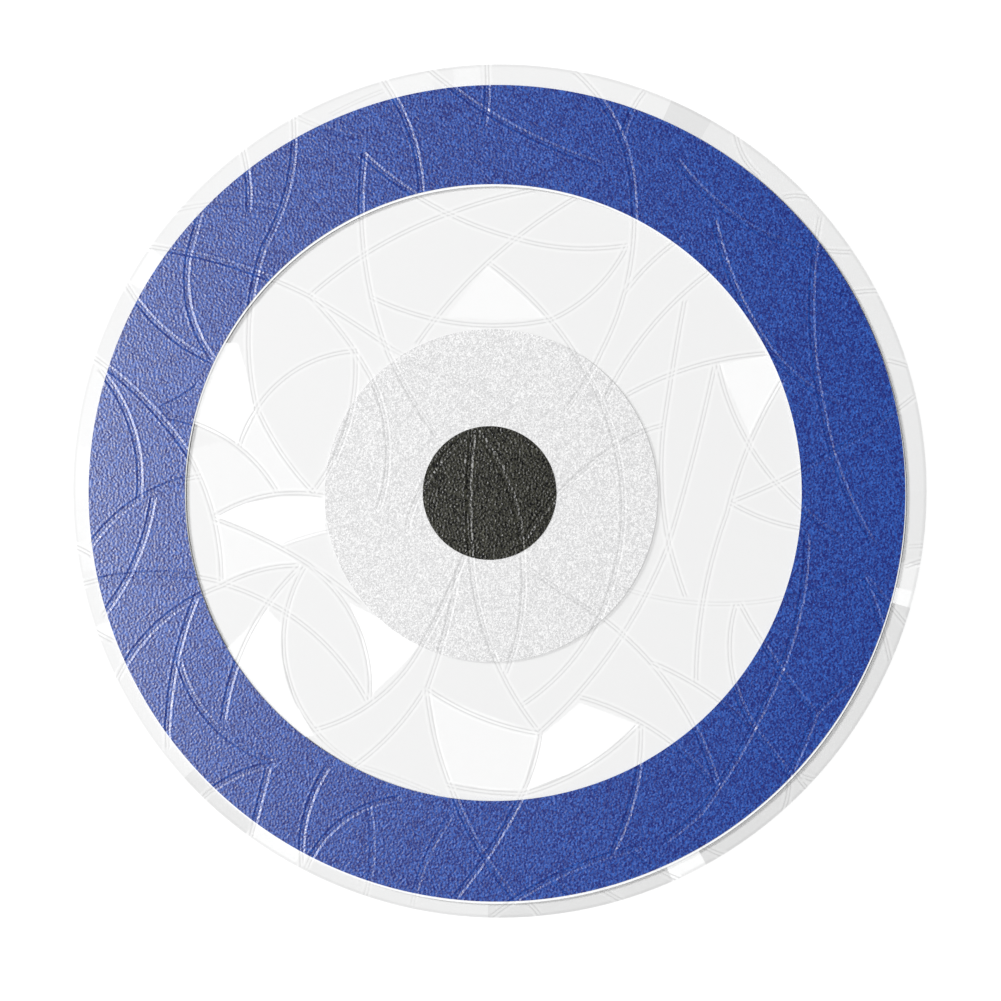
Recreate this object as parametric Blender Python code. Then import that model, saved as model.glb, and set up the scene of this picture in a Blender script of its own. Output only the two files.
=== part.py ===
"""Evil eye window cling: a round clear embossed film with a printed eye, lying on its clear release liner.

Metres, +Z up out of the printed face, +Y towards the top of the eye. The origin is at the bottom centre
of the whole part, so the liner's back rests on z = 0.
"""

import bmesh
import bpy

MM = 0.001

# Driving dimensions: the sheets
FILM_DIAMETER = 150.0 * MM
LINER_DIAMETER = 150.0 * MM
LINER_SLIP = 0.5 * MM  # how far the liner has slipped to the right of the film
LINER_THICKNESS = 0.10 * MM
FILM_THICKNESS = 0.20 * MM
INK_THICKNESS = 0.05 * MM
AIR_GAP = 0.02 * MM  # between one layer and the next

# Driving dimensions: the printed eye. Places are offsets from the film's own centre.
RING_OUTER_DIAMETER = 143.5 * MM
RING_INNER_DIAMETER = 108.4 * MM
IRIS_DIAMETER = 58.5 * MM
PUPIL_DIAMETER = 23.5 * MM
RING_OUTER_PLACE = (-0.5 * MM, -0.4 * MM)
RING_INNER_PLACE = (-1.15 * MM, -0.28 * MM)
IRIS_PLACE = (-1.5 * MM, -0.8 * MM)
PUPIL_PLACE = (-1.8 * MM, -0.35 * MM)
WHITE_SPREAD = 0.05 * MM  # how far the white underprint shows past the blue on every side
WHITE_SLIP = (0.12 * MM, -0.35 * MM)  # how far the white underprint is out of register

# Heights of the layers, from the table up
FILM_BOTTOM = LINER_THICKNESS + AIR_GAP
WHITE_BOTTOM = FILM_BOTTOM + FILM_THICKNESS + AIR_GAP
COLOUR_BOTTOM = WHITE_BOTTOM + INK_THICKNESS + AIR_GAP

# The film and the liner lie evenly to each side of the origin.
FILM_CENTRE = (-LINER_SLIP / 2, 0.0)
LINER_CENTRE = (LINER_SLIP / 2, 0.0)

SHEET_SIDES = 192
PUPIL_SIDES = 96
SMOOTH_ANGLE = 0.6  # radians: the rim stays smooth and its two edges stay sharp


def place(offset):
    """A point on the film, given as an offset from the film's centre."""
    return (FILM_CENTRE[0] + offset[0], FILM_CENTRE[1] + offset[1])


def moved(point, slip):
    return (point[0] + slip[0], point[1] + slip[1])


def material(name, colour, roughness, transmission=0.0):
    """One plain Principled material."""
    made = bpy.data.materials.new(name)
    made.use_nodes = True
    shader = made.node_tree.nodes["Principled BSDF"]
    shader.inputs["Base Color"].default_value = (*colour, 1.0)
    shader.inputs["Roughness"].default_value = roughness
    shader.inputs["Metallic"].default_value = 0.0
    shader.inputs["Transmission Weight"].default_value = transmission
    return made


def circle(bm, centre, diameter, height, sides):
    """A loop of edges at one height."""
    made = bmesh.ops.create_circle(bm, cap_ends=False, segments=sides, radius=diameter / 2)
    bmesh.ops.translate(bm, verts=made["verts"], vec=(*centre, height))
    return list({edge for vert in made["verts"] for edge in vert.link_edges})


def raised(bm, thickness):
    """Extrudes every face of a flat outline upwards into a closed sheet."""
    grown = bmesh.ops.extrude_face_region(bm, geom=bm.faces[:], use_keep_orig=True)
    top = [item for item in grown["geom"] if isinstance(item, bmesh.types.BMVert)]
    bmesh.ops.translate(bm, verts=top, vec=(0.0, 0.0, thickness))
    bmesh.ops.recalc_face_normals(bm, faces=bm.faces[:])


def piece(name, bm, look):
    """Turns a finished bmesh into a named, smooth-shaded object."""
    mesh = bpy.data.meshes.new(name)
    bm.to_mesh(mesh)
    bm.free()
    mesh.shade_smooth()
    mesh.set_sharp_from_angle(angle=SMOOTH_ANGLE)
    mesh.materials.append(look)
    made = bpy.data.objects.new(name, mesh)
    bpy.context.scene.collection.objects.link(made)
    return made


def disc(name, centre, diameter, bottom, thickness, sides, look):
    """A round sheet."""
    bm = bmesh.new()
    outline = circle(bm, centre, diameter, bottom, sides)
    bmesh.ops.contextual_create(bm, geom=outline)
    raised(bm, thickness)
    return piece(name, bm, look)


def ring(name, outer_centre, outer_diameter, inner_centre, inner_diameter, bottom, thickness, look):
    """A round sheet with a round hole that may sit off its centre."""
    bm = bmesh.new()
    outline = circle(bm, outer_centre, outer_diameter, bottom, SHEET_SIDES)
    hole = circle(bm, inner_centre, inner_diameter, bottom, SHEET_SIDES)
    bmesh.ops.bridge_loops(bm, edges=outline + hole)
    raised(bm, thickness)
    return piece(name, bm, look)


def release_liner():
    """The plain clear backing sheet that the cling is stored on. It is the lowest piece."""
    look = material("clear_liner", (0.90, 0.91, 0.91), 0.12, transmission=0.9)
    return disc("release_liner", LINER_CENTRE, LINER_DIAMETER, 0.0, LINER_THICKNESS, SHEET_SIDES, look)


def prism_film():
    """The clear embossed sheet that carries the print and clings to glass by its smooth back."""
    look = material("clear_prism_film", (0.88, 0.89, 0.89), 0.18, transmission=0.85)
    return disc("prism_film", FILM_CENTRE, FILM_DIAMETER, FILM_BOTTOM, FILM_THICKNESS, SHEET_SIDES, look)


def white_ring_base():
    """The white ink under the blue ring, spread a little past it and slightly out of register."""
    look = material("white_ink", (0.86, 0.86, 0.86), 0.50)
    return ring(
        "white_ring_base",
        moved(place(RING_OUTER_PLACE), WHITE_SLIP),
        RING_OUTER_DIAMETER + 2 * WHITE_SPREAD,
        moved(place(RING_INNER_PLACE), WHITE_SLIP),
        RING_INNER_DIAMETER - 2 * WHITE_SPREAD,
        WHITE_BOTTOM,
        INK_THICKNESS,
        look,
    )


def white_iris():
    """The pale disc around the pupil."""
    look = material("pearl_ink", (0.80, 0.80, 0.80), 0.45)
    centre = place(IRIS_PLACE)
    return disc("white_iris", centre, IRIS_DIAMETER, WHITE_BOTTOM, INK_THICKNESS, SHEET_SIDES, look)


def blue_ring():
    """The wide blue ring, whose hole sits a little left of its outline's centre."""
    look = material("blue_ink", (0.030, 0.075, 0.315), 0.45)
    return ring(
        "blue_ring",
        place(RING_OUTER_PLACE),
        RING_OUTER_DIAMETER,
        place(RING_INNER_PLACE),
        RING_INNER_DIAMETER,
        COLOUR_BOTTOM,
        INK_THICKNESS,
        look,
    )


def black_pupil():
    """The dark pupil, printed over the iris."""
    look = material("black_ink", (0.045, 0.045, 0.040), 0.45)
    centre = place(PUPIL_PLACE)
    return disc("black_pupil", centre, PUPIL_DIAMETER, COLOUR_BOTTOM, INK_THICKNESS, PUPIL_SIDES, look)


def main():
    for old in list(bpy.data.objects):
        bpy.data.objects.remove(old, do_unlink=True)
    release_liner()
    prism_film()
    white_ring_base()
    white_iris()
    blue_ring()
    black_pupil()


main()
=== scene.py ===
"""Looks of the evil eye window cling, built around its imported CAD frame.

The film and each ink layer are cut from one shared surface, pressed with the double lines of the emboss.
"""

import math

import bpy
import numpy as np
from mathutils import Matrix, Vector
from mathutils.geometry import delaunay_2d_cdt


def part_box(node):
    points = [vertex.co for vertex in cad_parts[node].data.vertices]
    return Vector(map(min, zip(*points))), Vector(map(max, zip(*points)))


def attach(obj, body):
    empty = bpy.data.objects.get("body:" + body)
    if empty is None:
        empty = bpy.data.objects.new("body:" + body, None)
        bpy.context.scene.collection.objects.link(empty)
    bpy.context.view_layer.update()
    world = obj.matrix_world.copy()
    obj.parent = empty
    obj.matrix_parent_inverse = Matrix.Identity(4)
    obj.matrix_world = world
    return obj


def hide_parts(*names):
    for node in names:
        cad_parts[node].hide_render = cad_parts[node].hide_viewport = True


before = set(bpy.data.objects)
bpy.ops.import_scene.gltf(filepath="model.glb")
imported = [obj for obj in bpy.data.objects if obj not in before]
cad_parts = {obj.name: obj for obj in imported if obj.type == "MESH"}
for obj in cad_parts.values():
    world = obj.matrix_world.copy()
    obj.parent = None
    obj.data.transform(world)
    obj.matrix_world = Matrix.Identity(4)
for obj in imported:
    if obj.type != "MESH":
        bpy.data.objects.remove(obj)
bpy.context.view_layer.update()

MM = 0.001
BLACK = (0.0, 0.0, 0.0)
WHITE = (1.0, 1.0, 1.0)

# The emboss: each line is a pair of pressed grooves with raised lips. The drawing is in millimetres, on a
# film of this diameter.
DRAWN_FILM_DIAMETER = 150.0
DRAWING_PLACE = Vector((-0.4 * MM, 0.0, 0.0))  # the drawing's middle, from the film's centre
# Each row is a distance from the line's middle, the surface's height there, and how far the clear film
# gathers light (1), shown as a painted highlight, or spreads it (-1), shown as painted shade.
EMBOSS_PROFILE = (
    (0.00, -0.024, 1.0),
    (0.27, -0.029, -1.0),
    (0.66, 0.009, 1.0),
    (1.00, 0.000, 0.0),
)
HEIGHT_LIMITS = (-0.065, 0.022)  # where lines cross
FAINT_SHARE = 0.5  # how strong the lightly pressed lines are, next to the others
RUNOUT = 0.5  # length over which a line fades out at its end
ARC_STEP = 0.9  # between points along a line
RIM_SIDES = 384  # of every round outline
RIM_WIDTH = 0.3  # the width of the painted shade along the film's cut edge, of strength RIM_SHADE
RIM_SHADE = -0.5
INSIDE_SHARE = 0.99999  # of an outline's radius, for a face to count as inside it
MERGE_DISTANCE = 0.003  # points nearer than this are made one
MARGIN_INSIDE = 70.5  # radii that a cell of the film's clear margin lies between
MARGIN_OUTSIDE = 76.0
MARGIN_STEP = 5.0  # the most degrees between a margin cell's corners

# The inks' grain and the clear plastic
FLECK_RANGE = (0.3, 1.0)  # grains valued below the first of these are as dark as the ink gets
GROOVE_SHADE = 0.18  # painted shade: how much darker ink is made in the bottom of a groove
SPARKLE_SIZE = 0.42 * MM
SPARKLE_DETAIL = 0.0
PLASTIC_IOR = 1.48
PLASTIC_SPECULAR = 0.05
SOFT_SHEEN = (0.35, 0.35, 0.35, 1.0)
HAZE_STRETCH = (1.0, 0.1, 1.0)
HAZE_SIZE = 0.5 * MM
HAZE_DETAIL = 1.0
HAZE_DEPTH = 0.004 * MM
PAINTED_GLINT_FROST = 0.7  # painted glint: how far the whitest cell is frosted white over what is under it
CELL_SHADE = 0.4  # painted shade: how far the darkest cell dims what is under it

# The studio
TABLE_SIZE = 4.0
TABLE_GAP = 0.02 * MM
TABLE_COLOUR = (0.95, 0.95, 0.95, 1.0)
TABLE_ROUGHNESS = 0.8
LAMP_DISTANCE = 6.0
ROOM_LIGHT = 0.15
CLEAR_FACES = 16  # how many clear faces a ray of light may pass
CAMERA_HEIGHT = 489.0 * MM
CAMERA_ASIDE = (-0.12 * MM, -1.67 * MM)
CAMERA_LENS = 100.0
CAMERA_NEAR = 10.0 * MM

# Each emboss line is an arc: its start, a point on the way and its end, from the drawing's middle.
EMBOSS_LINES = (
    ((-44.8, 60.0), (-43.8, 54.5), (-43.8, 49.0)), ((-35.9, 66.0), (-36.0, 58.0), (-41.0, 43.0)),
    ((-41.0, 43.0), (-43.7, 29.0), (-42.3, 14.2)), ((-61.5, 43.0), (-47.5, 40.0), (-33.0, 34.2)),
    ((-33.0, 34.2), (-26.0, 30.0), (-18.5, 24.9)), ((-65.5, 36.8), (-59.0, 28.6), (-50.0, 22.8)),
    ((-54.2, 41.8), (-54.4, 33.5), (-50.0, 23.2)), ((-52.3, 48.8), (-53.2, 45.3), (-54.2, 41.8)),
    ((-20.2, 72.3), (-15.3, 63.0), (-13.4, 52.5)), ((-23.8, 59.3), (-14.3, 51.9), (2.8, 44.5)),
    ((2.8, 44.5), (12.5, 42.7), (22.8, 43.2)), ((-23.4, 59.3), (-23.6, 43.0), (-19.2, 24.0)),
    ((-19.2, 24.0), (-15.3, 16.8), (-10.4, 9.2)), ((-33.0, 34.3), (-22.0, 42.4), (-8.7, 48.7)),
    ((-8.7, 48.7), (-1.5, 51.1), (6.5, 53.0)), ((-12.0, 74.0), (0.0, 65.5), (18.5, 57.3)),
    ((13.6, 73.6), (20.6, 64.8), (23.9, 52.0)), ((23.9, 52.0), (23.8, 43.0), (18.4, 24.8)),
    ((18.4, 24.8), (15.5, 19.3), (11.5, 13.6)), ((25.8, 70.2), (23.2, 66.0), (22.0, 62.3)),
    ((13.8, 51.6), (-1.7, 40.2), (-14.2, 25.8)), ((-1.6, 40.1), (9.3, 30.1), (16.2, 19.7)),
    ((16.2, 19.7), (21.9, 1.0), (18.1, -21.8)), ((18.1, -21.8), (12.0, -31.0), (4.3, -37.6)),
    ((-22.2, 34.1), (-7.0, 29.5), (9.3, 30.1)), ((9.3, 30.1), (17.0, 35.2), (22.8, 43.2)),
    ((-1.9, 75.0), (-1.8, 70.0), (-2.4, 64.0)), ((21.9, 34.2), (26.5, 39.7), (32.5, 44.6)),
    ((18.8, 15.8), (26.5, 28.2), (40.3, 40.6)), ((32.9, 33.6), (31.2, 24.0), (29.3, 12.0)),
    ((29.3, 12.0), (28.8, 2.0), (30.1, -9.2)), ((30.1, -9.2), (31.3, -13.5), (33.0, -18.6)),
    ((38.2, 22.2), (34.0, 4.5), (30.0, -9.5)), ((30.0, -9.5), (21.8, -25.5), (7.4, -42.4)),
    ((22.6, 16.8), (33.0, 21.4), (47.3, 24.2)), ((38.7, 22.5), (44.3, 8.0), (53.6, -3.2)),
    ((53.6, -3.2), (56.8, -5.8), (60.5, -8.3)), ((50.2, 19.7), (44.2, 8.0), (40.3, -4.0)),
    ((40.3, -4.0), (36.3, -18.5), (34.9, -33.4)), ((41.3, -1.8), (58.0, 6.2), (73.2, 16.6)),
    ((40.9, -2.0), (47.0, -4.9), (53.6, -6.6)), ((31.5, 58.2), (37.2, 51.8), (45.0, 46.1)),
    ((45.0, 46.1), (53.0, 43.1), (62.0, 42.0)), ((38.0, 47.9), (40.6, 38.8), (48.0, 24.7)),
    ((48.0, 24.7), (53.5, 19.3), (60.0, 15.3)), ((56.7, 48.3), (55.2, 34.0), (57.2, 14.0)),
    ((57.2, 14.0), (60.0, 3.3), (66.0, -9.2)), ((41.9, 62.6), (43.2, 58.8), (46.2, 55.3)),
    ((50.3, 51.6), (52.2, 51.9), (54.5, 51.6)), ((60.0, 34.5), (63.5, 35.0), (67.0, 35.2)),
    ((68.3, 23.0), (70.0, 22.6), (71.9, 22.0)), ((71.6, -13.3), (73.0, -12.8), (74.6, -12.3)),
    ((20.6, 7.7), (24.5, 10.0), (29.2, 11.6)), ((51.0, -18.6), (58.0, -17.0), (64.5, -15.0)),
    ((41.9, -20.0), (40.8, -28.0), (45.3, -41.8)), ((42.6, -19.8), (48.8, -30.0), (55.9, -39.0)),
    ((64.3, -15.0), (66.6, -21.0), (69.0, -29.8)), ((64.5, -15.0), (68.0, -19.0), (71.8, -23.5)),
    ((54.3, -7.5), (53.2, -20.0), (49.3, -32.5)), ((49.3, -32.5), (43.8, -43.8), (36.0, -56.0)),
    ((36.0, -56.0), (33.0, -58.8), (29.5, -61.3)), ((62.0, -33.5), (58.4, -36.5), (55.9, -39.0)),
    ((55.9, -39.0), (54.2, -43.4), (51.3, -49.8)), ((45.4, -42.2), (48.0, -45.4), (51.1, -49.5)),
    ((51.2, -49.8), (51.1, -53.0), (50.2, -56.3)), ((27.0, -30.1), (36.0, -34.8), (45.3, -42.3)),
    ((17.9, -21.9), (28.6, -32.2), (38.6, -51.8)), ((5.0, -13.2), (11.5, -17.8), (17.9, -21.9)),
    ((14.4, -36.2), (26.5, -41.4), (38.3, -51.8)), ((25.2, -41.2), (24.4, -51.0), (20.0, -63.8)),
    ((25.0, -62.6), (11.0, -67.4), (-1.0, -74.7)), ((23.8, -63.2), (27.5, -66.0), (32.0, -68.3)),
    ((9.8, -68.4), (11.3, -69.5), (13.0, -71.2)), ((18.3, -70.0), (20.0, -71.0), (21.8, -72.0)),
    ((52.0, -49.3), (53.8, -50.2), (55.8, -50.8)), ((52.3, -49.6), (53.3, -51.0), (54.3, -52.2)),
    ((35.5, -62.0), (37.8, -63.3), (40.3, -64.2)), ((7.3, -42.6), (-2.5, -40.0), (-12.3, -34.8)),
    ((-12.4, -35.0), (-10.6, -45.0), (-7.4, -54.0)), ((-7.4, -54.0), (-3.6, -62.0), (3.0, -71.5)),
    ((5.3, -72.3), (6.3, -73.2), (7.3, -74.4)), ((7.6, -42.6), (6.4, -48.0), (4.2, -53.6)),
    ((4.2, -53.6), (0.0, -61.2), (-7.4, -71.3)), ((-9.0, -51.6), (-2.5, -52.8), (4.5, -53.2)),
    ((4.5, -53.2), (15.5, -48.6), (25.0, -40.8)), ((-13.0, -35.2), (-18.0, -41.9), (-25.2, -48.3)),
    ((-5.6, -10.8), (-9.2, -19.2), (-13.6, -27.6)), ((-13.6, -27.6), (-21.5, -36.8), (-32.3, -42.0)),
    ((-7.0, -14.5), (-8.9, -23.5), (-12.4, -34.7)), ((-4.3, 10.7), (-5.1, -2.0), (-4.7, -11.0)),
    ((-4.7, -11.0), (-1.3, -27.3), (7.2, -42.2)), ((-3.9, 10.8), (2.2, 0.0), (4.4, -12.0)),
    ((4.4, -12.0), (4.4, -20.0), (1.3, -32.3)), ((-4.4, 10.6), (-11.5, 3.5), (-15.9, -6.3)),
    ((20.6, 7.7), (12.0, 0.8), (4.6, -8.5)), ((-32.8, 34.0), (-27.5, 28.0), (-22.2, 19.8)),
    ((-22.2, 19.8), (-19.3, 7.5), (-21.0, -3.3)), ((-25.1, 25.0), (-26.0, 13.0), (-32.5, -0.2)),
    ((-24.5, 24.6), (-33.8, 22.2), (-42.5, 14.2)), ((-42.5, 14.0), (-44.2, 11.0), (-45.3, 7.8)),
    ((-58.8, 13.2), (-47.3, 9.0), (-38.7, -0.2)), ((-42.0, 14.0), (-38.3, 7.2), (-32.3, -0.3)),
    ((-49.8, -4.5), (-41.0, -0.9), (-30.5, -0.9)), ((-71.2, 23.7), (-61.7, 15.6), (-54.4, 6.6)),
    ((-54.4, 6.6), (-50.4, -2.8), (-48.5, -15.8)), ((-70.0, 21.5), (-64.9, 13.0), (-63.0, -1.2)),
    ((-52.2, 2.6), (-62.8, -1.3), (-71.5, -9.5)), ((-74.4, -9.7), (-73.0, -10.3), (-71.3, -11.3)),
    ((-60.5, -1.2), (-62.9, -10.5), (-69.5, -22.0)), ((-73.3, -16.5), (-62.5, -14.6), (-48.6, -16.0)),
    ((-48.0, -16.5), (-57.0, -21.2), (-66.8, -33.0)), ((-48.2, -16.5), (-42.0, -14.0), (-34.8, -13.1)),
    ((-50.0, -4.8), (-36.5, -10.9), (-24.0, -19.8)), ((-34.6, -13.2), (-43.5, -25.0), (-48.2, -40.5)),
    ((-33.8, -13.2), (-37.6, -26.0), (-30.5, -43.8)), ((-33.0, -13.3), (-26.2, -20.8), (-22.5, -36.8)),
    ((-47.8, -16.5), (-34.8, -23.0), (-22.9, -37.0)), ((-52.5, 18.5), (-55.8, 16.2), (-59.2, 14.5)),
    ((-53.0, -18.8), (-56.6, -30.5), (-58.0, -45.5)), ((-56.0, -29.8), (-50.8, -40.0), (-39.5, -47.5)),
    ((-39.0, -48.0), (-45.3, -49.7), (-51.8, -53.9)), ((-40.3, -48.7), (-41.6, -54.0), (-43.3, -60.6)),
    ((-29.8, -48.4), (-33.5, -56.5), (-34.4, -65.9)), ((-33.6, -66.2), (-28.3, -58.8), (-17.0, -54.0)),
    ((-70.8, -24.6), (-69.0, -25.6), (-67.3, -26.5)),
)
FAINT_LINES = (
    ((-18.5, 24.9), (-7.0, 19.4), (3.8, 15.2)), ((4.4, 14.8), (10.5, 12.8), (19.0, 11.3)),
    ((-57.0, 49.2), (-47.0, 50.6), (-38.5, 49.8)), ((-35.8, 66.0), (-30.0, 63.6), (-23.5, 62.0)),
    ((-29.5, 66.0), (-25.0, 68.3), (-19.9, 70.4)), ((-12.6, 56.0), (-8.0, 59.3), (-3.0, 63.6)),
    ((14.5, 53.3), (16.5, 54.5), (19.5, 56.3)), ((72.0, -9.8), (73.3, -9.7), (74.8, -9.6)),
    ((20.6, -16.6), (35.5, -19.7), (51.0, -18.6)), ((-25.0, -48.1), (-18.0, -50.4), (-10.0, -53.7)),
    ((-22.3, -3.6), (-19.6, -4.9), (-16.8, -6.7)), ((4.0, 15.3), (1.0, 13.3), (-3.3, 11.5)),
    ((-22.7, -55.6), (-22.0, -63.0), (-23.2, -71.0)), ((-7.9, -56.7), (-12.2, -64.0), (-15.0, -72.8)),
    ((-38.0, -9.7), (-31.0, -7.4), (-23.5, -6.4)), ((-30.5, -43.8), (-28.0, -46.0), (-25.0, -48.1)),
)


def drawing_centre_and_scale():
    """The drawing's middle in metres, and metres for each drawn millimetre."""
    low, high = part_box("prism_film")
    return (low + high) / 2 + DRAWING_PLACE, (high.x - low.x) / DRAWN_FILM_DIAMETER


CENTRE, SCALE = drawing_centre_and_scale()


def drawn(point):
    """A point in metres, as millimetres on the drawing."""
    return ((point.x - CENTRE.x) / SCALE, (point.y - CENTRE.y) / SCALE)


class Arc:
    """A circular arc through three points."""

    def __init__(self, points, share):
        (ax, ay), (bx, by), (cx, cy) = points
        cross = 2 * (ax * (by - cy) + bx * (cy - ay) + cx * (ay - by))
        a_square, b_square, c_square = ax * ax + ay * ay, bx * bx + by * by, cx * cx + cy * cy
        self.x = (a_square * (by - cy) + b_square * (cy - ay) + c_square * (ay - by)) / cross
        self.y = (a_square * (cx - bx) + b_square * (ax - cx) + c_square * (bx - ax)) / cross
        self.radius = math.hypot(ax - self.x, ay - self.y)
        self.turn = -1.0 if cross < 0 else 1.0
        self.start = math.atan2(ay - self.y, ax - self.x)
        end = math.atan2(cy - self.y, cx - self.x)
        self.sweep = ((end - self.start) * self.turn) % (2 * math.pi)
        self.length = self.sweep * self.radius
        self.share = share

    def line(self, offset):
        """Points along the arc at a distance to its side, with half the run-out past both ends."""
        full = self.length + RUNOUT
        count = max(2, math.ceil(full / ARC_STEP))
        radius = self.radius + offset
        points = []
        for i in range(count + 1):
            angle = self.start + self.turn * (full * i / count - RUNOUT / 2) / self.radius
            points.append((self.x + radius * math.cos(angle), self.y + radius * math.sin(angle)))
        return points

    def pressed(self, x, y):
        """The line's height and its painted light-gathering, a painted highlight or painted shade, at each
        point.
        """
        angle = np.arctan2(y - self.y, x - self.x)
        turned = ((angle - self.start) * self.turn + math.pi - self.sweep / 2) % (2 * math.pi)
        along = (turned - math.pi + self.sweep / 2) * self.radius
        past_end = np.maximum(-along, along - self.length)
        fade = self.share * np.clip(0.5 - past_end / RUNOUT, 0, 1)
        aside = np.abs(np.hypot(x - self.x, y - self.y) - self.radius)
        offsets, heights, gathers = zip(*EMBOSS_PROFILE)
        return fade * np.interp(aside, offsets, heights), fade * np.interp(aside, offsets, gathers)


def circle(centre, diameter):
    """A closed outline in drawn millimetres."""
    radius = diameter / 2
    angles = [2 * math.pi * i / RIM_SIDES for i in range(RIM_SIDES)]
    return [(centre[0] + radius * math.cos(a), centre[1] + radius * math.sin(a)) for a in angles]


class Disc:
    """The round outline of a CAD node, in drawn millimetres."""

    def __init__(self, low, high):
        self.centre = drawn((low + high) / 2)
        self.diameter = (high.x - low.x) / SCALE

    def holds(self, x, y):
        return np.hypot(x - self.centre[0], y - self.centre[1]) < self.diameter / 2 * INSIDE_SHARE


def hole_of(node):
    """The round hole of a ring-shaped CAD node."""
    points = np.array([v.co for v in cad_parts[node].data.vertices])
    middle = (points.min(0) + points.max(0)) / 2
    reach = np.hypot(points[:, 0] - middle[0], points[:, 1] - middle[1])
    edge = points[reach < (reach.min() + reach.max()) / 2]
    return Disc(Vector(edge.min(0)), Vector(edge.max(0)))


class Cell:
    """A cell of the emboss whose fine ruling catches the lamps, shown by a painted glint, or turns from
    them, shown by painted shade.

    Its painted glint or shade runs from 1 for the whitest glint to -1 for the darkest shade.
    """

    def __init__(self, painted_glint_or_shade, *corners):
        self.painted_glint_or_shade = painted_glint_or_shade
        self.corners = corners

    def holds(self, x, y):
        inside = np.zeros(len(x), bool)
        for (ax, ay), (bx, by) in zip(self.corners, self.corners[1:] + self.corners[:1]):
            if ay != by:
                crosses = (ay > y) != (by > y)
                inside ^= crosses & (x < ax + (y - ay) * (bx - ax) / (by - ay))
        return inside


def margin_cell(painted_glint_or_shade, start, end):
    """A cell of the film's clear margin between two directions, in degrees anticlockwise from the right."""
    count = math.ceil((end - start) / MARGIN_STEP)
    angles = [math.radians(start + (end - start) * i / count) for i in range(count + 1)]
    inner = [(MARGIN_INSIDE * math.cos(a), MARGIN_INSIDE * math.sin(a)) for a in angles]
    outer = [(MARGIN_OUTSIDE * math.cos(a), MARGIN_OUTSIDE * math.sin(a)) for a in angles[::-1]]
    return Cell(painted_glint_or_shade, *inner, *outer)


# Cells' corners are in millimetres, from the drawing's middle. Each cell's first number is its painted glint
# (positive) or painted shade (negative).
CELLS = (
    # between the ring and the iris, each with a painted glint
    Cell(0.55, (-1.6, 39.6), (8.4, 30.6), (0.0, 30.0), (-9.2, 30.6)),
    Cell(0.65, (38.9, 22.2), (47.6, 23.8), (50.2, 19.0), (44.3, 9.9)),
    Cell(
        1.0, (-45.6, 26.0), (-43.9, 20.0), (-42.4, 14.2),
        (-45.4, 8.2), (-53.5, 12.0), (-56.0, 16.0), (-50.0, 26.0),
    ),
    Cell(
        1.0, (-49.6, -4.6), (-45.0, -2.2), (-38.0, -1.0),
        (-30.4, -1.0), (-30.2, -7.2), (-38.0, -9.6), (-44.0, -6.9),
    ),
    Cell(
        1.0, (-26.0, -19.6), (-20.0, -22.8), (-13.6, -27.0),
        (-17.5, -31.5), (-21.9, -35.6), (-23.0, -29.5), (-24.3, -24.0),
    ),
    Cell(
        0.9, (-40.4, -20.8), (-37.9, -23.5), (-37.6, -30.0),
        (-35.6, -37.0), (-32.3, -43.0), (-40.0, -44.0), (-50.0, -30.0),
    ),
    Cell(
        0.45, (-12.0, -35.4), (-4.0, -38.6), (7.2, -42.6),
        (4.6, -52.4), (-1.5, -52.6), (-8.9, -51.2), (-10.6, -44.0),
    ),
    Cell(1.0, (14.4, -37.2), (20.0, -39.2), (24.8, -41.2), (16.0, -48.4), (5.2, -52.6), (7.6, -43.2)),
    Cell(0.35, (-45.2, 8.0), (-42.2, 13.8), (-38.0, 7.0), (-32.3, -0.4), (-38.7, -0.3), (-42.0, 3.5)),
    Cell(0.4, (-49.8, -5.0), (-48.2, -15.6), (-41.0, -13.6), (-34.8, -12.9), (-37.6, -10.0), (-44.0, -7.4)),
    Cell(0.3, (-53.8, 7.4), (-50.2, -3.6), (-44.0, -1.6), (-39.0, -0.6), (-43.5, 5.2), (-48.5, 8.6)),
    # round the margin, with painted shade (negative) or a painted glint (positive)
    margin_cell(-0.25, 0.0, 60.0),
    margin_cell(-0.55, 60.0, 66.0),
    margin_cell(0.4, 92.4, 96.0),
    margin_cell(0.25, 99.0, 105.0),
    margin_cell(0.8, 145.0, 150.5),
    margin_cell(0.35, 162.0, 174.0),
    margin_cell(0.8, 174.0, 181.0),
    margin_cell(0.4, 181.0, 191.0),
    margin_cell(0.6, 198.5, 200.5),
    margin_cell(-0.45, 222.5, 233.7),
    margin_cell(0.7, 234.5, 241.5),
    margin_cell(-0.2, 243.5, 268.7),
    margin_cell(-0.6, 268.7, 294.2),
    margin_cell(0.9, 294.2, 299.2),
    margin_cell(-0.7, 299.2, 318.5),
    margin_cell(-0.6, 318.5, 344.2),
    margin_cell(0.9, 344.2, 346.4),
    margin_cell(0.2, 346.4, 350.0),
    margin_cell(-0.3, 350.0, 360.0),
)


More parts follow.
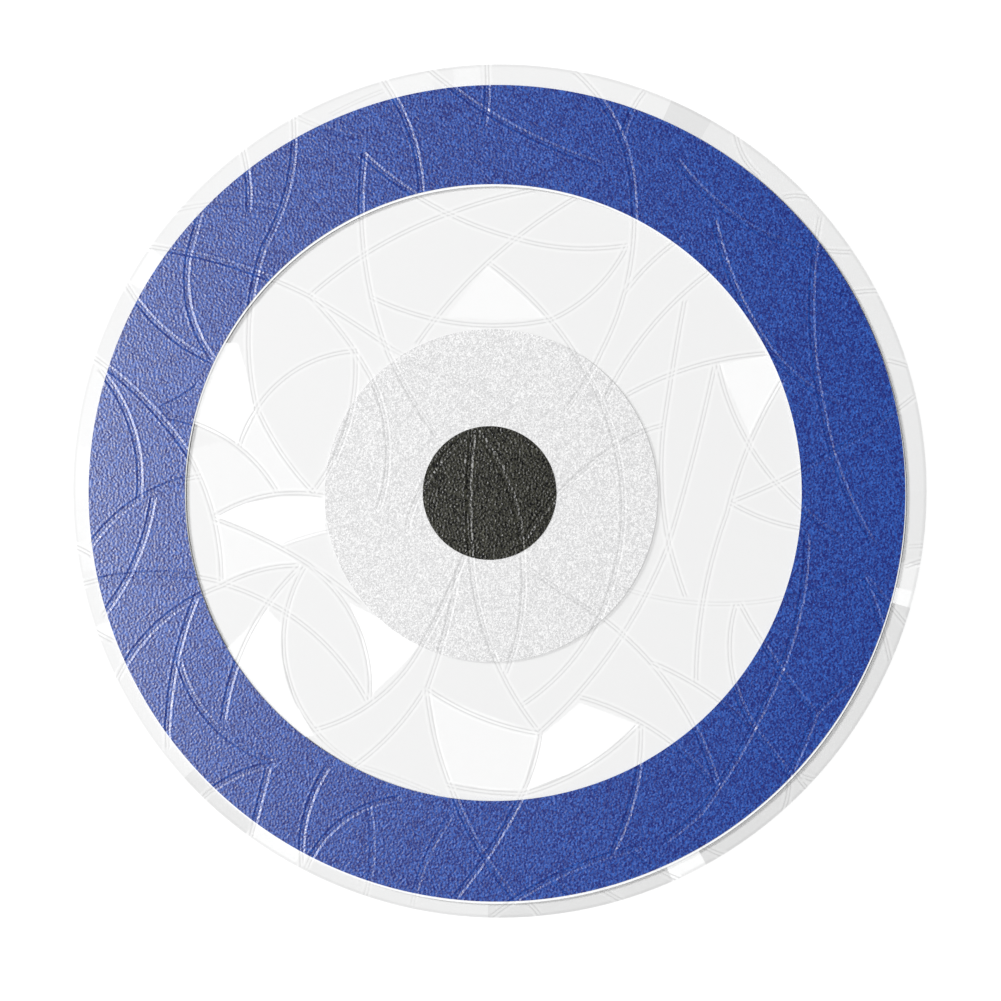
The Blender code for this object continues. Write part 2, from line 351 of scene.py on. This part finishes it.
def pressed_sheet(arcs, discs, cells):
    """One triangulation of the film that follows every line, outline and cell.

    Returns its corners, its faces, and each corner's height and painted light-gathering (highlight or
    shade). The first disc is the film.
    """
    points = []
    edges = []

    def add(line, closed):
        first = len(points)
        points.extend(Vector(p) for p in line)
        count = len(line)
        edges.extend((first + i, first + (i + 1) % count) for i in range(count if closed else count - 1))

    film = discs[0]
    for disc in discs:
        add(circle(disc.centre, disc.diameter), True)
    # outlines of the band of painted shade along the film's cut edge
    for inset in (RIM_WIDTH, 2 * RIM_WIDTH):
        add(circle(film.centre, film.diameter - 2 * inset), True)
    offsets = [row[0] for row in EMBOSS_PROFILE]
    for arc in arcs:
        for offset in [-o for o in offsets[:0:-1]] + offsets:
            add(arc.line(offset), False)
    for cell in cells:
        add(cell.corners, True)
    corners, _, faces, *_ = delaunay_2d_cdt(points, edges, [], 0, MERGE_DISTANCE, False)
    corners = np.array([tuple(p) for p in corners])
    faces = np.array([tuple(f) for f in faces])
    height = np.zeros(len(corners))
    gather = np.zeros(len(corners))
    for arc in arcs:
        more_height, more_gather = arc.pressed(corners[:, 0], corners[:, 1])
        height += more_height
        gather += more_gather
    reach = np.hypot(corners[:, 0] - film.centre[0], corners[:, 1] - film.centre[1])
    from_rim = film.diameter / 2 - reach
    # painted shade along the film's cut edge, where refraction would darken it
    gather += np.interp(from_rim, (0, RIM_WIDTH, 2 * RIM_WIDTH), (RIM_SHADE, RIM_SHADE, 0))
    return corners, faces, np.clip(height, *HEIGHT_LIMITS), np.clip(gather, -1, 1)


def rim_of(faces):
    """The edges that only one face uses, in that face's direction."""
    edges = np.concatenate([faces[:, [0, 1]], faces[:, [1, 2]], faces[:, [2, 0]]])
    size = faces.max() + 1
    forward = edges[:, 0] * size + edges[:, 1]
    backward = edges[:, 1] * size + edges[:, 0]
    return edges[~np.isin(forward, backward)]


def ordered(rim):
    """The corners of a rim that is one closed loop, in order."""
    following = dict(rim.tolist())
    loop = [rim[0][0].item()]
    while following[loop[-1]] != loop[0]:
        loop.append(following[loop[-1]])
    return loop


def upward(corners, faces):
    """The faces, all turned counter-clockwise as seen from above, without those of no area."""
    a, b, c = (corners[faces[:, i]] for i in range(3))
    turn = (b[:, 0] - a[:, 0]) * (c[:, 1] - a[:, 1]) - (b[:, 1] - a[:, 1]) * (c[:, 0] - a[:, 0])
    faces = faces[np.abs(turn) > 0]
    turn = turn[np.abs(turn) > 0]
    return np.where(turn[:, None] > 0, faces, faces[:, ::-1])


def carry(mesh, name, domain, values):
    """Gives each point or face of the mesh its own number, for the materials to read."""
    made = mesh.attributes.new(name, "FLOAT", domain)
    made.data.foreach_set("value", np.concatenate(values).astype(np.float32))


def layer(name, sheet, outline, hole, node, flat_back, look, cells=()):
    """A closed sheet in the place of a CAD node, pressed with the emboss.

    Its back is flat, or follows its front.
    """
    corners, faces, height, gather = sheet
    middle = corners[faces].mean(1)
    inside = outline.holds(middle[:, 0], middle[:, 1])
    if hole:
        inside &= ~hole.holds(middle[:, 0], middle[:, 1])
    faces = upward(corners, faces[inside])
    middle = corners[faces].mean(1)
    # each face's painted glint or shade, from the cell it lies in
    painted_glint_or_shade = np.zeros(len(faces))
    for cell in cells:
        painted_glint_or_shade[cell.holds(middle[:, 0], middle[:, 1])] = cell.painted_glint_or_shade
    used, faces = np.unique(faces, return_inverse=True)
    faces = faces.reshape(-1, 3)
    low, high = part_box(node)
    x = CENTRE.x + corners[used, 0] * SCALE
    y = CENTRE.y + corners[used, 1] * SCALE
    top = np.stack([x, y, high.z + height[used] * SCALE], 1)
    rim = rim_of(faces)
    count = len(used)
    if flat_back:
        loop = ordered(rim)
        back = np.stack([x[loop], y[loop], np.full(len(loop), low.z)], 1)
        place = {corner: count + i for i, corner in enumerate(loop)}
        walls = [(b, a, place[a], place[b]) for a, b in rim.tolist()]
        under = [tuple(range(count + len(loop) - 1, count - 1, -1))]
    else:
        back = np.stack([x, y, low.z + height[used] * SCALE], 1)
        walls = [(b, a, a + count, b + count) for a, b in rim.tolist()]
        under = (faces[:, ::-1] + count).tolist()
    mesh = bpy.data.meshes.new(name)
    mesh.from_pydata(np.concatenate([top, back]).tolist(), [], faces.tolist() + walls + under)
    # painted light-gathering on the corners and painted glint or shade on the faces, for the materials
    carry(mesh, "gather", "POINT", [gather[used], np.zeros(len(back))])
    carry(mesh, "painted_glint_or_shade", "FACE", [painted_glint_or_shade, np.zeros(len(walls + under))])
    mesh.materials.append(look)
    made = bpy.data.objects.new(name, mesh)
    bpy.context.scene.collection.objects.link(made)
    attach(made, "cling")
    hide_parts(node)
    return made


class Shader:
    """A material's node tree, with short calls for the nodes that the looks use."""

    # the sockets of a colour Mix node, where several share a name
    MIX_FACTOR = 0
    MIX_FIRST = 6
    MIX_SECOND = 7
    MIX_RESULT = 2

    def __init__(self, name):
        self.material = bpy.data.materials.new(name)
        self.material.use_nodes = True
        self.tree = self.material.node_tree
        self.principled = self.tree.nodes["Principled BSDF"]
        self.output = self.tree.nodes["Material Output"]

    def set(self, **values):
        """Sets inputs of the Principled node, with _ for each space in a name."""
        for socket, value in values.items():
            self.principled.inputs[socket.replace("_", " ")].default_value = value

    def link(self, source, target):
        self.tree.links.new(source, target)

    def node(self, kind, **inputs):
        """A new node, with each named input linked to a socket or set to a value."""
        made = self.tree.nodes.new(kind)
        for socket, value in inputs.items():
            if isinstance(value, bpy.types.NodeSocket):
                self.link(value, made.inputs[socket])
            else:
                made.inputs[socket].default_value = value
        return made

    def place(self, stretch=(1.0, 1.0, 1.0)):
        """Where a point is on the piece, in metres, squeezed by stretch."""
        where = self.node("ShaderNodeTexCoord").outputs["Object"]
        return self.node("ShaderNodeMapping", Vector=where, Scale=stretch).outputs["Vector"]

    def attribute(self, name):
        """A value that the mesh carries."""
        made = self.node("ShaderNodeAttribute")
        made.attribute_name = name
        return made.outputs["Fac"]

    def noise(self, size, detail, vector):
        """Soft noise, from 0 to 1, with blotches about size metres across."""
        made = self.node("ShaderNodeTexNoise", Vector=vector, Scale=1 / size, Detail=detail)
        return made.outputs["Fac"]

    def grains(self, size, vector):
        """Grains about size metres across, each with its own value from 0 to 1."""
        made = self.node("ShaderNodeTexVoronoi", Vector=vector, Scale=1 / size)
        return made.outputs["Color"]

    def between(self, fac, low, high, from_low=0.0, from_high=1.0):
        """Low where fac is from_low, and high where it is from_high."""
        made = self.node("ShaderNodeMapRange", Value=fac)
        made.inputs["From Min"].default_value = from_low
        made.inputs["From Max"].default_value = from_high
        made.inputs["To Min"].default_value = low
        made.inputs["To Max"].default_value = high
        return made.outputs["Result"]

    def bump(self, height, distance):
        made = self.node("ShaderNodeBump", Height=height, Distance=distance, Strength=1.0)
        return made.outputs["Normal"]

    def mixed(self, fac, first, second):
        """The first colour where fac is 0, and the second where it is 1."""
        made = self.tree.nodes.new("ShaderNodeMix")
        made.data_type = "RGBA"
        self.link(fac, made.inputs[self.MIX_FACTOR])
        if isinstance(first, bpy.types.NodeSocket):
            self.link(first, made.inputs[self.MIX_FIRST])
        else:
            made.inputs[self.MIX_FIRST].default_value = (*first, 1.0)
        made.inputs[self.MIX_SECOND].default_value = (*second, 1.0)
        return made.outputs[self.MIX_RESULT]

    def straight(self, passing):
        """Plain clearness that lets this share of the light pass."""
        return self.node("ShaderNodeBsdfTransparent", Color=(passing, passing, passing, 1.0)).outputs[0]

    def show(self, ray, first, second):
        """Shows the second shader to rays of the named kind, and the first to all others."""
        joined = self.tree.nodes.new("ShaderNodeMixShader")
        self.link(self.node("ShaderNodeLightPath").outputs[ray], joined.inputs[0])
        self.link(first, joined.inputs[1])
        self.link(second, joined.inputs[2])
        self.link(joined.outputs[0], self.output.inputs["Surface"])


def ink(name, dark, light, grain, smooth, rough, sparkle_depth, specular, passing=0.0):
    """Printed ink with a fine sparkling grain of paler, rougher flecks, and painted shade in groove bottoms.
    Thin ink lets some light pass.
    """
    shader = Shader(name)
    where = shader.place()
    grains = shader.grains(grain, where)
    fleck = shader.between(grains, 0.0, 1.0, *FLECK_RANGE)
    # painted shade: the ink's colour is darkened where the light-gathering is negative, in the groove
    # bottoms
    painted_shade = shader.between(shader.attribute("gather"), GROOVE_SHADE, 0.0, -1.0, 0.0)
    colour = shader.mixed(painted_shade, shader.mixed(fleck, dark, light), BLACK)
    shader.link(colour, shader.principled.inputs["Base Color"])
    shader.set(Specular_IOR_Level=specular)
    shader.link(shader.between(grains, smooth, rough), shader.principled.inputs["Roughness"])
    sparkle = shader.noise(SPARKLE_SIZE, SPARKLE_DETAIL, where)
    shader.link(shader.bump(sparkle, sparkle_depth), shader.principled.inputs["Normal"])
    if passing:
        shader.show("Is Shadow Ray", shader.principled.outputs[0], shader.straight(passing))
    return shader.material


def clear(name, tint, roughness, passing, highlight_frost=0.0, shadow=0.0, glow=0.0):
    """Clear plastic as the eye meets it. Every other ray passes it straight, a little dimmed.

    Where the emboss gathers light, a painted highlight makes it brighter and a little frosted, and where it
    spreads light, painted shade makes it darker. A cell with a painted glint is frosted white, and one with
    painted shade is dimmed.
    """
    shader = Shader(name)
    shader.set(
        Roughness=roughness, IOR=PLASTIC_IOR, Specular_IOR_Level=PLASTIC_SPECULAR, Specular_Tint=SOFT_SHEEN
    )
    gathered = shader.attribute("gather")
    # the tints of the painted shade and painted highlight along the emboss lines
    dark = tuple(part * (1 - shadow) for part in tint)
    bright = tuple(part * (1 + glow) for part in tint)
    painted_shade = shader.between(gathered, 1.0, 0.0, -1.0, 0.0)
    lined = shader.mixed(gathered, shader.mixed(painted_shade, tint, dark), bright)
    # painted shade of the darker cells dims the tint
    painted_glint_or_shade = shader.attribute("painted_glint_or_shade")
    colour = shader.mixed(shader.between(painted_glint_or_shade, CELL_SHADE, 0.0, -1.0, 0.0), lined, BLACK)
    shader.link(colour, shader.principled.inputs["Base Color"])
    # painted highlights along the lines and painted glints of the cells frost the film white
    clearness = shader.node("ShaderNodeMath")
    clearness.operation = "MINIMUM"
    shader.link(shader.between(gathered, 1.0, 1.0 - highlight_frost), clearness.inputs[0])
    shader.link(shader.between(painted_glint_or_shade, 1.0, 1.0 - PAINTED_GLINT_FROST), clearness.inputs[1])
    shader.link(clearness.outputs[0], shader.principled.inputs["Transmission Weight"])
    haze = shader.noise(HAZE_SIZE, HAZE_DETAIL, shader.place(HAZE_STRETCH))
    shader.link(shader.bump(haze, HAZE_DEPTH), shader.principled.inputs["Normal"])
    shader.show("Is Camera Ray", shader.straight(passing), shader.principled.outputs[0])
    return shader.material


def blue_ink():
    return ink(
        "blue_ink",
        dark=(0.000, 0.010, 0.165),
        light=(0.004, 0.096, 0.480),
        grain=0.25 * MM,
        smooth=0.23,
        rough=0.38,
        sparkle_depth=0.036 * MM,
        specular=0.86,
    )


def white_ink():
    return ink(
        "white_ink",
        dark=(0.84, 0.85, 0.86),
        light=(0.88, 0.88, 0.88),
        grain=0.24 * MM,
        smooth=0.5,
        rough=0.5,
        sparkle_depth=0.01 * MM,
        specular=0.5,
    )


def pearl_ink():
    return ink(
        "pearl_ink",
        dark=(0.57, 0.57, 0.575),
        light=(0.91, 0.91, 0.91),
        grain=0.19 * MM,
        smooth=0.3,
        rough=0.5,
        sparkle_depth=0.02 * MM,
        specular=0.4,
        passing=0.72,
    )


def black_ink():
    return ink(
        "black_ink",
        dark=(0.001, 0.001, 0.001),
        light=(0.060, 0.060, 0.042),
        grain=0.22 * MM,
        smooth=0.20,
        rough=0.34,
        sparkle_depth=0.07 * MM,
        specular=0.38,
    )


def clear_film():
    return clear(
        "clear_film",
        tint=(0.915, 0.918, 0.918),
        roughness=0.34,
        passing=0.957,
        highlight_frost=0.06,
        shadow=0.35,
        glow=0.085,
    )


def clear_liner():
    return clear("clear_liner", tint=(0.98, 0.985, 0.985), roughness=0.25, passing=0.985)


def floor():
    """A plain pale table top."""
    shader = Shader("pale_table")
    shader.set(Base_Color=TABLE_COLOUR, Roughness=TABLE_ROUGHNESS, Specular_IOR_Level=0.0)
    half = TABLE_SIZE / 2
    corners = [(-half, -half), (half, -half), (half, half), (-half, half)]
    mesh = bpy.data.meshes.new("floor")
    mesh.from_pydata([(x, y, -TABLE_GAP) for x, y in corners], [], [(0, 1, 2, 3)])
    mesh.materials.append(shader.material)
    made = bpy.data.objects.new("floor", mesh)
    bpy.context.scene.collection.objects.link(made)


def lamp(name, azimuth, elevation, size, watts):
    """A soft square lamp aimed at the film's centre. Azimuth 0 is to the right, 90 towards the top."""
    light = bpy.data.lights.new(name, "AREA")
    light.shape = "SQUARE"
    light.size = size
    light.energy = watts
    made = bpy.data.objects.new(name, light)
    flat = math.cos(math.radians(elevation)) * LAMP_DISTANCE
    made.location = (
        flat * math.cos(math.radians(azimuth)),
        flat * math.sin(math.radians(azimuth)),
        math.sin(math.radians(elevation)) * LAMP_DISTANCE,
    )
    made.rotation_euler = (-made.location).to_track_quat("-Z", "Y").to_euler()
    bpy.context.scene.collection.objects.link(made)


def studio():
    """Soft light from the left: a low key that casts the fine shadows, and a high box for the sheen."""
    lamp("low_key", azimuth=155.0, elevation=30.0, size=1.2, watts=317.0)
    lamp("high_box", azimuth=181.0, elevation=67.0, size=1.7, watts=236.0)
    world = bpy.data.worlds.new("studio")
    world.use_nodes = True
    world.node_tree.nodes["Background"].inputs["Color"].default_value = (*WHITE, 1.0)
    world.node_tree.nodes["Background"].inputs["Strength"].default_value = ROOM_LIGHT
    bpy.context.scene.world = world
    bpy.context.scene.view_settings.view_transform = "Standard"
    bpy.context.scene.cycles.transparent_max_bounces = CLEAR_FACES


def camera():
    """Straight down on the eye, from just below its middle."""
    made = bpy.data.objects.new("camera", bpy.data.cameras.new("camera"))
    made.data.lens = CAMERA_LENS
    made.data.clip_start = CAMERA_NEAR
    made.location = (*CAMERA_ASIDE, CAMERA_HEIGHT)
    bpy.context.scene.collection.objects.link(made)
    bpy.context.scene.camera = made


def main():
    camera()
    studio()
    floor()
    arcs = [Arc(points, 1.0) for points in EMBOSS_LINES]
    arcs += [Arc(points, FAINT_SHARE) for points in FAINT_LINES]
    film = Disc(*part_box("prism_film"))
    blue = Disc(*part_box("blue_ring"))
    blue_hole = hole_of("blue_ring")
    base = Disc(*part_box("white_ring_base"))
    base_hole = hole_of("white_ring_base")
    iris = Disc(*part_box("white_iris"))
    pupil = Disc(*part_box("black_pupil"))
    sheet = pressed_sheet(arcs, [film, blue, blue_hole, base, base_hole, iris, pupil], CELLS)
    # each piece's name, outline, hole, CAD node, whether its back is flat, look and slot
    pieces = (
        ("embossed_film", film, None, "prism_film", True, clear_film(), "clear_prism_film"),
        ("embossed_white_ring", base, base_hole, "white_ring_base", False, white_ink(), "white_ink"),
        ("embossed_iris", iris, None, "white_iris", False, pearl_ink(), "pearl_ink"),
        ("embossed_blue_ring", blue, blue_hole, "blue_ring", False, blue_ink(), "blue_ink"),
        ("embossed_pupil", pupil, None, "black_pupil", False, black_ink(), "black_ink"),
    )
    for name, outline, hole, node, flat_back, look, slot in pieces:
        cells = CELLS if node == "prism_film" else ()
        made = layer(name, sheet, outline, hole, node, flat_back, look, cells)
    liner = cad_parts["release_liner"]
    liner.data.materials.clear()
    liner.data.materials.append(clear_liner())


main()
